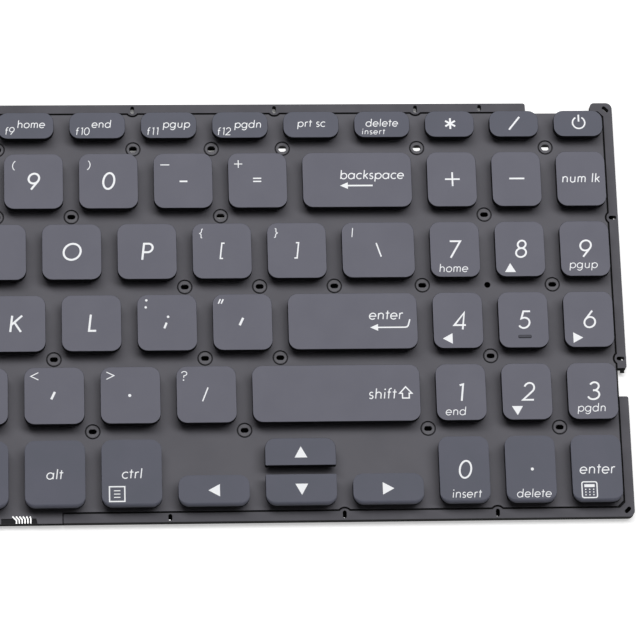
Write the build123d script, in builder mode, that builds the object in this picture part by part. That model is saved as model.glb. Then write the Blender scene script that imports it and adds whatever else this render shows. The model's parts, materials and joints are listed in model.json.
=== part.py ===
"""Laptop replacement keyboard: plate, membrane, domes, scissor links and key caps, in millimetres.

The origin is the middle of the rim's underside. X runs to the right, Y to the rear, Z up.
"""
from build123d import *
from math import asin, atan, cos, degrees, radians, sin
import os

os.makedirs("parts", exist_ok=True)

# Key layout
key_pitch = 19.05  # one letter key to the next, left to right
row_pitch = 19.05  # one letter row to the next
column_gap = 4.0  # between caps side by side
row_gap = 4.2  # between caps one behind the other
backspace_width = 28.05  # cap of the last key of the digit row, which sets the main block's right side
escape_cell = 23.5  # first cell of the rear row, the other fourteen share what is left
rear_depth = 7.1  # caps of the rear row, front to rear
front_depth = 17.3  # caps of the front row, front to rear
arrow_low_depth = 7.9  # left, down and right arrow caps
arrow_gap = 2.3  # between the up and down arrow caps
pad_pitch = 16.7  # one number pad column to the next
pad_columns = 3
row_stagger = (0.0, 0.5, 0.75, 1.25)  # start of the one-unit keys in each letter row, in key pitches
left_modifiers = (1.25, 1.0, 1.0, 1.0)  # first cells of the front row, in key pitches
space_units = 5.0
single_key_line = 172.0  # caps that reach past this, from the block's left side, are nodes of their own

# Key caps
cap_height = 1.9  # top face to the lower edge of the skirt
cap_roof = 0.9
cap_corner = 2.6  # corner radius seen from above
corner_facets = 2  # flats that stand for each corner arc
cap_corner_wall = 0.3  # least wall between the hollow and a corner flat
key_travel = 1.4
press_clearance = 0.3  # skirt to membrane with the key fully down

# Base plate and membrane
plate_thickness = 0.8
membrane_thickness = 0.4
rim_drop = 1.0  # underside of the rim band, below the underside of the plate's floor
band_width = 2.3  # rim band round the tray
trench = 0.5  # open line between band and membrane
plate_corner = 1.6
tray_chamfer = 1.4
rim_lap = 0.8  # floor set into the band
side_margin = 0.45  # outer caps to membrane edge
rear_margin = 0.65
front_margin = 0.3
rivet_radius = 1.0
boss_radius = 1.65
boss_moat = 0.35  # between a boss and the membrane
boss_shift = 1.1  # bosses stand this far behind the middle of their row gap
rear_boss_shift = 0.4
plain_hole_radius = 0.8
slot_length = 2.0  # locating slots in the band
slot_width = 1.0
slot_land = 0.75  # band left round a slot
slot_inset = 1.45  # middle of a slot to the plate's outer edge
corner_slot_inset = 1.75
plain_slot_length = 1.7  # slots that need no land
plain_slot_inset = 1.2
side_slot_shift = 0.1  # slots of the right side stand this far behind the middle of their row gap
rear_notch_width = 17.0
rear_notch_right = 5.7  # from the plate's right side
side_notch_length = 7.5
side_notch_shift = 3.3  # middle of the notch, behind the middle of the last letter row
lug_size = 1.0
lug_inset = 0.7  # tray side to lug
tail_window = 9.0  # where the membrane's lower layer shows
tail_window_depth = 1.3  # from the plate's front edge
tail_land = 6.2  # membrane each side of the window
tail_middle = 176.8  # from the block's left side
tail_depth = 0.2

# Switch mechanism
dome_radius = 2.6
short_dome_radius = 0.9
dome_draft = 0.6  # base radius less top radius
dome_sides = 5
short_dome_sides = 4
seat_clearance = 0.05  # dome to cap
link_thickness = 0.5
link_bar = 0.8
link_span = 10.4
link_clearance = 0.2  # link to link, cap, membrane
wire_size = 0.6
wire_leg = 5.5
wire_inset = 3.5  # wire end to cap end

# Derived sizes
cap_depth = row_pitch - row_gap
arrow_up_depth = front_depth - arrow_gap - arrow_low_depth
main_width = 13 * key_pitch + backspace_width + column_gap
block_width = main_width + pad_columns * pad_pitch
rear_pitch = (main_width - escape_cell) / 14
arrow_start = (sum(left_modifiers) + space_units + 2) * key_pitch
arrow_pitch = (main_width - arrow_start) / 3
edge = band_width + trench
plate_width = block_width - column_gap + 2 * (edge + side_margin)
plate_depth = 2 * edge + rear_margin + rear_depth + row_gap + 4 * row_pitch + front_depth + front_margin
tray_width = plate_width - 2 * band_width
tray_depth = plate_depth - 2 * band_width
sheet_width = tray_width - 2 * trench
sheet_depth = tray_depth - 2 * trench
floor_top = rim_drop + plate_thickness
sheet_top = floor_top + membrane_thickness
cap_bottom = sheet_top + press_clearance + key_travel
roof_under = cap_bottom + cap_height - cap_roof
hollow_inset = cap_corner * (1 - cos(radians(45))) + cap_corner_wall
block_left = -block_width / 2
rear_row_y = plate_depth / 2 - edge - rear_margin - rear_depth / 2
digit_row_y = rear_row_y - rear_depth / 2 - row_gap - cap_depth / 2
front_edge_y = digit_row_y - 3 * row_pitch - cap_depth / 2 - row_gap - front_depth
front_row_y = front_edge_y + front_depth / 2
tail_x = block_left + tail_middle

# Names of the keys in each row, left to right
digit_names = ["grave", *"1234567890", "minus", "equals"]
upper_names = [*"qwertyuiop", "left_bracket", "right_bracket"]
home_names = [*"asdfghjkl", "semicolon", "quote"]
lower_names = [*"zxcvbnm", "comma", "period", "slash"]
letter_rows = (digit_names, upper_names, home_names, lower_names)
first_names = (None, "tab", "caps_lock", "left_shift")
last_names = ("backspace", "backslash", "enter", "right_shift")
rear_names = ["escape", *(f"f{n}" for n in range(1, 13)), "print_screen", "delete"]
modifier_names = ["left_control", "function", "system", "left_alt"]
wired_names = ("backspace", "enter", "right_shift", "space")
pad_names = (
    ("multiply", "divide", "power"),
    ("plus", "minus", "lock"),
    ("7", "8", "9"),
    ("4", "5", "6"),
    ("1", "2", "3"),
    ("0", "point", "enter"),
)


def row_y(row):
    """Middle of a letter row, counted from the digit row."""
    return digit_row_y - row * row_pitch


def key_cells():
    """Every key as (name, left and right cell sides from the block's left side, middle in Y, cap depth)."""
    cells = [("escape", 0.0, escape_cell, rear_row_y, rear_depth)]
    for n, name in enumerate(rear_names[1:]):
        left = escape_cell + n * rear_pitch
        cells.append((name, left, left + rear_pitch, rear_row_y, rear_depth))
    for row, names in enumerate(letter_rows):
        start = 0.0
        if first_names[row]:
            start = (row_stagger[row] + 1) * key_pitch
            cells.append((first_names[row], 0.0, start, row_y(row), cap_depth))
        for n, name in enumerate(names):
            left = start + n * key_pitch
            cells.append((name, left, left + key_pitch, row_y(row), cap_depth))
        cells.append((last_names[row], start + len(names) * key_pitch, main_width, row_y(row), cap_depth))
    left = 0.0
    units = (*left_modifiers, space_units, 1.0, 1.0)
    for name, width in zip([*modifier_names, "space", "right_alt", "right_control"], units):
        cells.append((name, left, left + width * key_pitch, front_row_y, front_depth))
        left += width * key_pitch
    low_y = front_edge_y + arrow_low_depth / 2
    up_y = front_edge_y + front_depth - arrow_up_depth / 2
    for n, name in enumerate(("arrow_left", "arrow_down", "arrow_right")):
        left = arrow_start + n * arrow_pitch
        cells.append((name, left, left + arrow_pitch, low_y, arrow_low_depth))
    cells.append(("arrow_up", arrow_start + arrow_pitch, arrow_start + 2 * arrow_pitch, up_y, arrow_up_depth))
    pad_rows = ((rear_row_y, rear_depth), *((row_y(r), cap_depth) for r in range(4)), (front_row_y, front_depth))
    for names, (y, depth) in zip(pad_names, pad_rows):
        for n, name in enumerate(names):
            left = main_width + n * pad_pitch
            cells.append((f"pad_{name}", left, left + pad_pitch, y, depth))
    return cells


def facet_outline(width, depth, radius, flats, rounded=(True, True, True, True)):
    """Rectangle with its corners rounded by flats, from front right round to front left."""
    points = []
    radius = min(radius, width / 2.1, depth / 2.1)
    for corner, (sx, sy) in enumerate(((1, -1), (1, 1), (-1, 1), (-1, -1))):
        if not rounded[corner]:
            points.append((sx * width / 2, sy * depth / 2))
            continue
        for step in range(flats + 1):
            turn = radians(90 * (corner - 1) + 90 * step / flats)
            x = sx * (width / 2 - radius) + radius * cos(turn)
            y = sy * (depth / 2 - radius) + radius * sin(turn)
            points.append((x, y))
    return points


def slot_outline(length, width):
    """Long hexagon that stands for a round-ended slot."""
    straight = (length - width) / 2
    return [(length / 2, 0), (straight, width / 2), (-straight, width / 2), (-length / 2, 0),
            (-straight, -width / 2), (straight, -width / 2)]


def keycap(x, y, width, depth, rounded):
    """Cap with a skirt, open below."""
    with BuildPart() as cap:
        with BuildSketch(Plane((x, y, cap_bottom))):
            with BuildLine():
                Polyline(*facet_outline(width, depth, cap_corner, corner_facets, rounded), close=True)
            make_face()
        extrude(amount=cap_height)
        with BuildSketch(Plane((x, y, cap_bottom))):
            Rectangle(width - 2 * hollow_inset, depth - 2 * hollow_inset)
        extrude(amount=cap_height - cap_roof, mode=Mode.SUBTRACT)
    return cap.part


def plain_cap(x, y, width, depth):
    """Cap with a closed underside, for the keys that are carried as one group."""
    with BuildPart() as cap:
        with BuildSketch(Plane((x, y, cap_bottom))):
            Rectangle(width, depth)
        extrude(amount=cap_height)
        chamfer(cap.edges().filter_by(Axis.Z), cap_corner * (2 - 2 ** 0.5))
    return cap.part


def dome(x, y, base, top, height, sides):
    """Rubber dome standing on the membrane, with flat sides that lean in."""
    lean = degrees(atan((base - top) * cos(radians(180 / sides)) / height))
    with BuildPart() as rubber:
        with BuildSketch(Plane((x, y, sheet_top))):
            RegularPolygon(base, sides)
        extrude(amount=height, taper=lean)
    return rubber.part


def link_frame(x, y, outer, rise_sign):
    """U frame of a scissor pair: two arms and the cross bar at their upper end."""
    room = roof_under - sheet_top - 2 * link_clearance
    tilt = degrees(asin((room - link_thickness) / link_span))
    middle = Plane((x, y, (roof_under + sheet_top) / 2)).rotated((rise_sign * tilt, 0, 0))
    with BuildPart() as frame:
        with BuildSketch(middle):
            Rectangle(outer, link_span)
            with Locations((0, -rise_sign * link_bar)):
                Rectangle(outer - 2 * link_bar, link_span, mode=Mode.SUBTRACT)
        extrude(amount=link_thickness / 2, both=True)
    return frame.part


def stabiliser(x, y, width, depth):
    """U wire under a wide cap: a bar along the front of the hollow and two legs down to the plate."""
    room = roof_under - sheet_top - 2 * link_clearance
    tilt = degrees(asin((room - wire_size) / wire_leg))
    bar_y = y - depth / 2 + hollow_inset + link_clearance
    middle = Plane((x, bar_y + wire_leg / 2, (roof_under + sheet_top) / 2)).rotated((-tilt, 0, 0))
    with BuildPart() as wire:
        with BuildSketch(middle):
            Rectangle(width - 2 * wire_inset, wire_leg)
            with Locations((0, wire_size)):
                Rectangle(width - 2 * wire_inset - 2 * wire_size, wire_leg, mode=Mode.SUBTRACT)
        extrude(amount=wire_size / 2, both=True)
    return wire.part


def group(pieces):
    """Separate solids carried as one node."""
    with BuildPart() as together:
        add(pieces)
    return together.part


# Key caps, domes, links and wires
left_caps = []
domes = []
links = []
wires = []
outer_frame = pad_pitch - column_gap - 2 * hollow_inset - 2 * link_clearance
inner_frame = outer_frame - 2 * link_bar - 2 * link_clearance
for name, left, right, y, depth in key_cells():
    x = block_left + (left + right) / 2
    width = right - left - column_gap
    is_short = depth < cap_depth
    is_single = right - column_gap / 2 > single_key_line
    dome_base = short_dome_radius if is_short else dome_radius
    dome_top = dome_base - dome_draft
    dome_height = (roof_under if is_single else cap_bottom) - sheet_top - seat_clearance
    sides = short_dome_sides if is_short else dome_sides
    domes.append(dome(x, y, dome_base, dome_top, dome_height, sides))
    if not is_single:
        left_caps.append(plain_cap(x, y, width, depth))
        continue
    is_round_front = name != "arrow_up"
    is_round_rear = name != "arrow_down"
    cap = keycap(x, y, width, depth, (is_round_front, is_round_rear, is_round_rear, is_round_front))
    cap.label = f"key_{name}"
    export_step(cap, f"parts/key_{name}.step")
    if not is_short:
        links.append(link_frame(x, y, outer_frame, 1))
        links.append(link_frame(x, y, inner_frame, -1))
    if name in wired_names:
        wires.append(stabiliser(x, y, width, depth))

for node, pieces in (("left_keys", left_caps), ("rubber_domes", domes), ("scissor_links", links),
                     ("stabiliser_wires", wires)):
    whole = group(pieces)
    whole.label = node
    export_step(whole, f"parts/{node}.step")

# Rivet bosses stand in the gaps between the rows, beside the keys' corners
pad_gap_1 = main_width + pad_pitch
pad_gap_2 = main_width + 2 * pad_pitch
mirror_gap_2 = block_width - pad_gap_2
boss_rows = (
    (rear_row_y - (rear_depth + row_gap) / 2 + rear_boss_shift,
     [main_width - n * rear_pitch for n in (5.9, 4.0, 2.9, 1.9, 0.0)]),
    (row_y(0.5) + boss_shift, [*(n * key_pitch for n in (9, 10, 12)), pad_gap_1]),
    (row_y(1.5) + boss_shift, [*((n + row_stagger[1]) * key_pitch for n in (11, 12, 13)), main_width, pad_gap_2]),
    (row_y(2.5) + boss_shift, [*((n + row_stagger[2]) * key_pitch for n in (9, 11, 12)), pad_gap_1]),
    (row_y(3.5) + boss_shift, [*((n + row_stagger[3]) * key_pitch for n in (9, 11)), main_width]),
)
boss_points = [(block_left + x, y) for y, row in boss_rows for x in row]
corner_rows = (boss_rows[0][0], boss_rows[-1][0])
corner_points = [(block_left + x, y) for y in corner_rows for x in (mirror_gap_2, pad_gap_2)]
plain_hole = (block_left + pad_gap_1, row_y(1.5) + boss_shift)

# Locating slots in the band: along the rear and front, along the right side, and across two corners
slot_y = plate_depth / 2 - slot_inset
slot_x = plate_width / 2 - slot_inset
rear_slots = [(block_left + main_width - n * rear_pitch, slot_y) for n in (4, 2, 0)]
front_slots = [(block_left + arrow_start + 2 * arrow_pitch, -slot_y), (block_left + pad_gap_1, -slot_y)]
side_slots = [(slot_x, row_y(n) + side_slot_shift) for n in (0.5, 2.5)]
corner_slots = [(plate_width / 2 - corner_slot_inset, end * (plate_depth / 2 - corner_slot_inset)) for end in (1, -1)]
plain_slot_y = plate_depth / 2 - plain_slot_inset
plain_slots = [(block_left + pad_gap_1, plain_slot_y), (block_left + arrow_start, -plain_slot_y)]
slot_places = [
    *((point, 90, slot_length) for point in rear_slots + front_slots),
    *((point, 90, plain_slot_length) for point in plain_slots),
    *((point, 0, slot_length) for point in side_slots),
    (corner_slots[0], -45, slot_length),
    (corner_slots[1], 45, slot_length),
]
land_radius = slot_length / 2 + slot_land - slot_width / 4
land_points = rear_slots + front_slots + side_slots
tail_width = tail_window + 2 * tail_land
side_notch_y = row_y(3) + side_notch_shift

with BuildPart() as base_plate:
    with BuildSketch(Plane.XY.offset(rim_drop)):
        Rectangle(tray_width + 2 * rim_lap, tray_depth + 2 * rim_lap)
        with Locations((tail_x, -plate_depth / 4)):
            Rectangle(tail_width, plate_depth / 2)
    extrude(amount=plate_thickness)
    with BuildSketch():
        with BuildLine():
            Polyline(*facet_outline(plate_width, plate_depth, plate_corner, corner_facets), close=True)
        make_face()
        with BuildSketch(mode=Mode.SUBTRACT) as tray:
            Rectangle(tray_width, tray_depth)
            chamfer(tray.vertices(), tray_chamfer)
            with Locations(*land_points):
                RegularPolygon(land_radius, 6, mode=Mode.SUBTRACT)
            with Locations((tail_x, -plate_depth / 2)):
                Rectangle(tail_width + 2 * trench, plate_depth / 4)
    extrude(amount=sheet_top)
    with BuildSketch(Plane.XY.offset(floor_top)):
        with Locations(*boss_points, *corner_points):
            RegularPolygon(boss_radius, 6)
    extrude(amount=membrane_thickness)
    with BuildSketch():
        with Locations(*boss_points):
            RegularPolygon(rivet_radius, 6)
        with Locations(*corner_points):
            Circle(rivet_radius)
        for point, turn, length in slot_places:
            with Locations(Location(point, turn)):
                Polygon(*slot_outline(length, slot_width))
        with Locations((plate_width / 2 - rear_notch_right - rear_notch_width / 2, plate_depth / 2)):
            Rectangle(rear_notch_width, 2 * edge)
        with Locations(plain_hole):
            RegularPolygon(plain_hole_radius, 6)
        with Locations((plate_width / 2, side_notch_y)):
            Rectangle(2 * band_width, side_notch_length)
    extrude(amount=sheet_top, mode=Mode.SUBTRACT)
    with BuildSketch(Plane.XY.offset(rim_drop)):
        with Locations((plate_width / 2 - band_width + lug_inset + lug_size / 2,
                        side_notch_y + side_notch_length / 2 - lug_size / 2)):
            Rectangle(lug_size, lug_size)
    extrude(amount=plate_thickness)
base_plate.part.label = "base_plate"
export_step(base_plate.part, "parts/base_plate.step")

with BuildPart() as membrane:
    with BuildSketch(Plane.XY.offset(floor_top)) as sheet:
        Rectangle(sheet_width, sheet_depth)
        chamfer(sheet.vertices(), tray_chamfer)
        with Locations((tail_x, -plate_depth / 4)):
            Rectangle(tail_width, plate_depth / 2)
        with Locations(*land_points):
            RegularPolygon(land_radius + trench, 6, mode=Mode.SUBTRACT)
        with Locations(*boss_points, *corner_points):
            RegularPolygon(boss_radius + boss_moat, 6, mode=Mode.SUBTRACT)
        with Locations(plain_hole):
            RegularPolygon(plain_hole_radius, 6, mode=Mode.SUBTRACT)
    extrude(amount=membrane_thickness)
    with BuildSketch(Plane.XY.offset(sheet_top)):
        with Locations((tail_x, -plate_depth / 2)):
            Rectangle(tail_window, 2 * tail_window_depth)
    extrude(amount=-tail_depth, mode=Mode.SUBTRACT)
membrane.part.label = "membrane"
export_step(membrane.part, "parts/membrane.step")
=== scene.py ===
"""Looks of the laptop keyboard: plate, film sheet, switches and key caps with printed legends."""
import json
import math

import bmesh
import bpy
from mathutils import Matrix, Vector
from mathutils.geometry import delaunay_2d_cdt

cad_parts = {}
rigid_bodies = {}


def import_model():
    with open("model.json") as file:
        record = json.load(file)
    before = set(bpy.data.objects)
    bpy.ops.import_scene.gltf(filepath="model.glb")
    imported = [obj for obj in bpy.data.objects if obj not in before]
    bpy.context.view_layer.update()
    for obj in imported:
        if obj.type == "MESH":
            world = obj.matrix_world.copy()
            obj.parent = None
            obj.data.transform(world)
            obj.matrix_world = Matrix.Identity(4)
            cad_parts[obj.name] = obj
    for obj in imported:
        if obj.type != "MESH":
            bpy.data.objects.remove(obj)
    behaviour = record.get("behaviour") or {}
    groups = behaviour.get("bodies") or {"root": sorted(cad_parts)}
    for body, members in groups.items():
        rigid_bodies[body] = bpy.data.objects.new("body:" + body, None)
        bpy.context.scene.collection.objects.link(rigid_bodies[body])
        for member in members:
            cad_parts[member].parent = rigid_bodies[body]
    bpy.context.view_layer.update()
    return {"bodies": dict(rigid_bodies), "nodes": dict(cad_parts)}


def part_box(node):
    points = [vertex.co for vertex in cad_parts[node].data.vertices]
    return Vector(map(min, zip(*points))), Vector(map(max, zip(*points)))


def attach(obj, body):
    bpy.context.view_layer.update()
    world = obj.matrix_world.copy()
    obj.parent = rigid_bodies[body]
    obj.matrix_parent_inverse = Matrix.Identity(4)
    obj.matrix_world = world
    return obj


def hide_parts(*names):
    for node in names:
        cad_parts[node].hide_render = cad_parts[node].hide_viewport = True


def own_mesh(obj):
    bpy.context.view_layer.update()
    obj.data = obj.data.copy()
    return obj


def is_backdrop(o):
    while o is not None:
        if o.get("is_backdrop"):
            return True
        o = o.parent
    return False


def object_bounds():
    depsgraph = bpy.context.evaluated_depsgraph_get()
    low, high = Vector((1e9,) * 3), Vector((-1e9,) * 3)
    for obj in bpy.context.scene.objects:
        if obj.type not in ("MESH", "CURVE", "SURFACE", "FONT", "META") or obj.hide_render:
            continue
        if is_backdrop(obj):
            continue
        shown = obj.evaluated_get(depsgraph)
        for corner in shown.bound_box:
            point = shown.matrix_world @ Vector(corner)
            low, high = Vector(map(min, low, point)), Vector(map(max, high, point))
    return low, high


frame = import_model()

# Lengths below are millimetres in the CAD frame, turned into metres when a mesh is made
MM = 0.001

# Key caps
key_pitch = 19.05  # one letter key to the next, left to right
short_cap = 12.0  # caps with less depth stand on a small dome
cap_corner = 2.6
cap_corner_steps = 7
cap_square_corner = 0.3
cap_wall = 0.75
cap_roof = 0.9
corner_wall = 0.3  # least wall between the hollow and a corner
hollow_inset = cap_corner * (1 - math.cos(math.radians(45))) + corner_wall
skirt_bevel = 0.08
roof_draft = 0.1  # the hollow is this much narrower at its top
cap_bevel = ((0.0, 0.14), (0.03, 0.05), (0.07, 0.015))
cap_top_inset = 0.11
front_roll = ((0.0, 0.75), (0.12, 0.4), (0.4, 0.12))  # bevel along the front of the front row
front_roll_inset = 0.8
face_margin = 0.05
front_row_slack = 2.0  # how far behind the number pad's front line a cap still counts as front row
ink_height = 0.015
# Raised bar on the middle pad key, over a dark slab that is its painted shadow: width, depth, place along Y,
# corner, top below the cap's top, material
homing_bars = ((3.4, 0.9, -4.5, 0.3, 0.008, 4), (3.2, 0.5, -4.4, 0.2, 0.0, 3))
homing_x = 0.2
homing_root = 0.1

# Plate and film sheet
rim_drop = 1.0  # underside of the rim band, below the underside of the plate's floor
floor_top = 1.8
sheet_top = 2.2
band_width = 2.3
trench = 0.5
plate_corner = 1.6
tray_chamfer = 1.4
rim_lap = 0.8
land_radius = 1.5
boss_radius = 1.65
boss_moat = 0.35
boss_bevel = 0.1
boss_rim = 0.12  # outer edge of a boss's flat top to its side
boss_root = 0.3  # foot of a boss's opening, below the top of the plate's floor
collar_height = 0.05
collar_gap = 0.02
tail_gap = 0.25
rivet_radius = 1.0
row_opening = 1.2  # depth of the long openings in the bosses
rear_opening = 1.55
plain_hole_radius = 0.8
boss_shift = 1.1  # bosses stand this far behind the middle of their row gap
rear_boss_shift = 0.4
slot_length = 2.0
slot_width = 1.0
slot_inset = 1.45  # middle of a slot to the plate's outer edge
side_slot_shift = 0.1
corner_slot_inset = 1.75
plain_slot_length = 1.7
plain_slot_inset = 1.2
rear_notch_ends = (22.7, 5.7)  # from the plate's right side
rear_notch_corners = (0.6, 1.0)
side_notch_shift = 3.3  # middle of the notch, behind the middle of the last letter row
side_notch_length = 7.5
side_notch_corners = (0.5, 0.5)
lug_size = 1.0
lug_inset = 0.7  # tray side to lug
tail_x = 11.9
tail_width = 21.4
tail_window = 9.0
tail_window_depth = 1.3  # from the plate's front edge
tail_step = 0.2  # upper film down to the window's floor
trace_width = 0.34
trace_count = 6
trace_feet = (-0.7, 0.705)  # first foot from the tail's middle, and the step to the next
trace_starts = (-1.69, 0.866)
trace_bends = (0.84, 0.09)  # first bend from the plate's front edge, and the step to the next
trace_reach = 1.85  # rear ends from the plate's front edge
trace_end = 0.02
trace_rise = 0.02  # above the upper film

# Switches
dome_radius = 2.6
short_dome_radius = 0.9
dome_draft = 0.6
seat_clearance = 0.05
link_bar = 0.8
link_span = 10.4
link_thickness = 0.5
link_clearance = 0.2
wire_size = 0.6
wire_leg = 5.5
wire_inset = 3.5
wire_bend = 0.8


def srgb(red, green, blue):
    """Linear colour of a screen colour given as 0 to 255."""
    shares = (value / 255 for value in (red, green, blue))
    return (*(((s + 0.055) / 1.055) ** 2.4 if s > 0.04 else s / 12.92 for s in shares), 1.0)


def grained(name, dark, light, patch, grain, depth, rough, metallic=0.0, specular=0.5):
    """Surface whose colour drifts between two shades over patches, with a fine grain in bump and gloss."""
    material = bpy.data.materials.new(name)
    material.use_nodes = True
    nodes = material.node_tree.nodes
    links = material.node_tree.links
    shader = nodes["Principled BSDF"]
    shader.inputs["Metallic"].default_value = metallic
    shader.inputs["Specular IOR Level"].default_value = specular
    place = nodes.new("ShaderNodeTexCoord")
    patches = nodes.new("ShaderNodeTexNoise")
    patches.inputs["Scale"].default_value = 1 / (patch * MM)
    patches.inputs["Detail"].default_value = 4.0
    shades = nodes.new("ShaderNodeValToRGB")
    shades.color_ramp.elements[0].position = 0.3
    shades.color_ramp.elements[0].color = srgb(*dark)
    shades.color_ramp.elements[1].position = 0.7
    shades.color_ramp.elements[1].color = srgb(*light)
    fine = nodes.new("ShaderNodeTexNoise")
    fine.inputs["Scale"].default_value = 1 / (grain * MM)
    fine.inputs["Detail"].default_value = 2.0
    gloss = nodes.new("ShaderNodeMapRange")
    gloss.inputs["To Min"].default_value = rough[0]
    gloss.inputs["To Max"].default_value = rough[1]
    bump = nodes.new("ShaderNodeBump")
    bump.inputs["Strength"].default_value = 0.5
    bump.inputs["Distance"].default_value = depth * MM
    links.new(place.outputs["Object"], patches.inputs["Vector"])
    links.new(place.outputs["Object"], fine.inputs["Vector"])
    links.new(patches.outputs["Fac"], shades.inputs["Fac"])
    links.new(shades.outputs["Color"], shader.inputs["Base Color"])
    links.new(fine.outputs["Fac"], gloss.inputs["Value"])
    links.new(gloss.outputs["Result"], shader.inputs["Roughness"])
    links.new(fine.outputs["Fac"], bump.inputs["Height"])
    links.new(bump.outputs["Normal"], shader.inputs["Normal"])
    return material


cap_paint = grained("cap_paint", (97, 97, 108), (101, 101, 112), 9.0, 0.12, 0.02, (0.5, 0.6), 0.0, 0.2)
# Painted shade: the tops of the rear and the front row a little darker than the rows between
outer_row_painted_shade = grained("outer_row_painted_shade", (85, 87, 98), (89, 90, 102), 9.0, 0.12, 0.02, (0.5, 0.6), 0.0, 0.2)
# Painted shade: the caps' walls, hollow and outer rim strips near black, darker than the caps' tops,
# standing in for the shade on them
cap_wall_painted_shade = grained("cap_wall_painted_shade", (13, 13, 15), (18, 18, 20), 3.0, 0.12, 0.02, (0.45, 0.6), 0.0, 0.05)
legend_ink = grained("legend_ink", (248, 250, 254), (253, 254, 255), 1.0, 0.1, 0.005, (0.5, 0.6), 0.0, 0.2)
homing_ridge = grained("homing_ridge", (74, 74, 82), (80, 80, 88), 1.0, 0.1, 0.01, (0.5, 0.6), 0.0, 0.1)
# Painted shadow under the raised bar of the middle pad key
homing_painted_shadow = grained("homing_painted_shadow", (44, 44, 49), (52, 52, 57), 1.0, 0.1, 0.01, (0.5, 0.6), 0.0, 0.05)
film = grained("film", (86, 85, 91), (92, 91, 97), 12.0, 0.1, 0.012, (0.55, 0.65), 0.0, 0.2)
plate_paint = grained("plate_paint", (70, 69, 75), (80, 79, 85), 7.0, 0.08, 0.012, (0.5, 0.62), 0.0, 0.2)
boss_paint = grained("boss_paint", (89, 88, 93), (96, 95, 100), 3.0, 0.08, 0.01, (0.5, 0.62), 0.0, 0.2)
# Painted shade in the moat round each boss, on its collar and outer side
boss_foot_painted_shade = grained("boss_foot_painted_shade", (36, 36, 39), (44, 44, 47), 3.0, 0.08, 0.01, (0.5, 0.65), 0.0, 0.1)
# Painted shade: the plate's cut edges and walls, the top of its floor seen in the trench and moats, and the
# floor under the plate
plate_painted_shade = grained("plate_painted_shade", (12, 12, 13), (18, 18, 19), 5.0, 0.08, 0.012, (0.5, 0.65), 0.0, 0.05)
window_black = grained("window_black", (16, 16, 19), (24, 24, 27), 2.0, 0.1, 0.01, (0.45, 0.6), 0.0, 0.1)
trace_silver = grained("trace_silver", (214, 214, 214), (238, 238, 238), 0.6, 0.05, 0.005, (0.3, 0.45), 0.3)
rubber = grained("rubber", (48, 48, 51), (60, 60, 63), 2.0, 0.2, 0.02, (0.6, 0.75))
link_plastic = grained("link_plastic", (30, 30, 33), (40, 40, 43), 2.0, 0.12, 0.02, (0.4, 0.55))
wire_steel = grained("wire_steel", (150, 150, 155), (186, 186, 190), 1.0, 0.06, 0.006, (0.22, 0.35), 1.0)


def placed(name, data):
    """New object of a mesh, a light or a camera, put into the scene."""
    made = bpy.data.objects.new(name, data)
    bpy.context.scene.collection.objects.link(made)
    return made


def piece(name, bm, materials, body, stands_for, smooth_angle=40):
    """Object of a mesh built in millimetres, riding on a body in place of CAD nodes."""
    bmesh.ops.recalc_face_normals(bm, faces=bm.faces)
    bm.transform(Matrix.Scale(MM, 4))
    mesh = bpy.data.meshes.new(name)
    bm.to_mesh(mesh)
    bm.free()
    for material in materials:
        mesh.materials.append(material)
    mesh.shade_smooth()
    mesh.set_sharp_from_angle(angle=math.radians(smooth_angle))
    made = placed(name, mesh)
    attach(made, body)
    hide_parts(*stands_for)
    return made


def node_box(node):
    """Lowest and highest corner of a CAD node, in millimetres."""
    low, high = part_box(node)
    return low / MM, high / MM


def solid_boxes(node):
    """Boxes of the separate solids of a CAD node, in millimetres, rear rows first and left to right."""
    bm = bmesh.new()
    bm.from_mesh(frame["nodes"][node].data)
    bmesh.ops.remove_doubles(bm, verts=bm.verts, dist=1e-7)
    left = set(bm.verts)
    boxes = []
    while left:
        front = [left.pop()]
        found = list(front)
        while front:
            vertex = front.pop()
            for edge in vertex.link_edges:
                other = edge.other_vert(vertex)
                if other in left:
                    left.remove(other)
                    front.append(other)
                    found.append(other)
        low = Vector(min(v.co[axis] for v in found) for axis in range(3)) / MM
        high = Vector(max(v.co[axis] for v in found) for axis in range(3)) / MM
        boxes.append((low, high))
    bm.free()
    return sorted(boxes, key=lambda box: (-round(box[0].y + box[1].y), box[0].x))


def add_slab(bm, points, faces, low, high, top=0, wall=None, bottom=None):
    """Closed sheet of even thickness on a flat mesh, with materials for its top, cut edges and underside."""
    wall = top if wall is None else wall
    bottom = top if bottom is None else bottom
    upper = [bm.verts.new((x, y, high)) for x, y in points]
    lower = [bm.verts.new((x, y, low)) for x, y in points]
    sides = {}
    for face in faces:
        bm.faces.new([upper[n] for n in face]).material_index = top
        bm.faces.new([lower[n] for n in reversed(face)]).material_index = bottom
        for start, end in zip(face, (*face[1:], face[0])):
            if (end, start) in sides:
                del sides[end, start]
            else:
                sides[start, end] = True
    for start, end in sides:
        bm.faces.new((upper[end], upper[start], lower[start], lower[end])).material_index = wall


def add_rings(bm, rings, material_of, close_start=True, close_end=True):
    """Skin over rings of equal counts of points, with a material for each strip and each end."""
    made = [[bm.verts.new(point) for point in ring] for ring in rings]
    count = len(made[0])
    for n, (first, second) in enumerate(zip(made, made[1:])):
        for k in range(count):
            face = bm.faces.new((first[k], first[(k + 1) % count], second[(k + 1) % count], second[k]))
            face.material_index = material_of(n)
    if close_start:
        bm.faces.new(list(reversed(made[0]))).material_index = material_of(0)
    if close_end:
        bm.faces.new(made[-1]).material_index = material_of(len(made) - 1)


def one_face(points):
    """Flat mesh of one face."""
    return points, [list(range(len(points)))]


def circle(x, y, radius, steps=28):
    """Points round a circle."""
    turns = (2 * math.pi * n / steps for n in range(steps))
    return [(x + radius * math.cos(turn), y + radius * math.sin(turn)) for turn in turns]


def rectangle(x0, y0, x1, y1):
    """Corner points of an upright rectangle."""
    return [(x0, y0), (x1, y0), (x1, y1), (x0, y1)]


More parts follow.
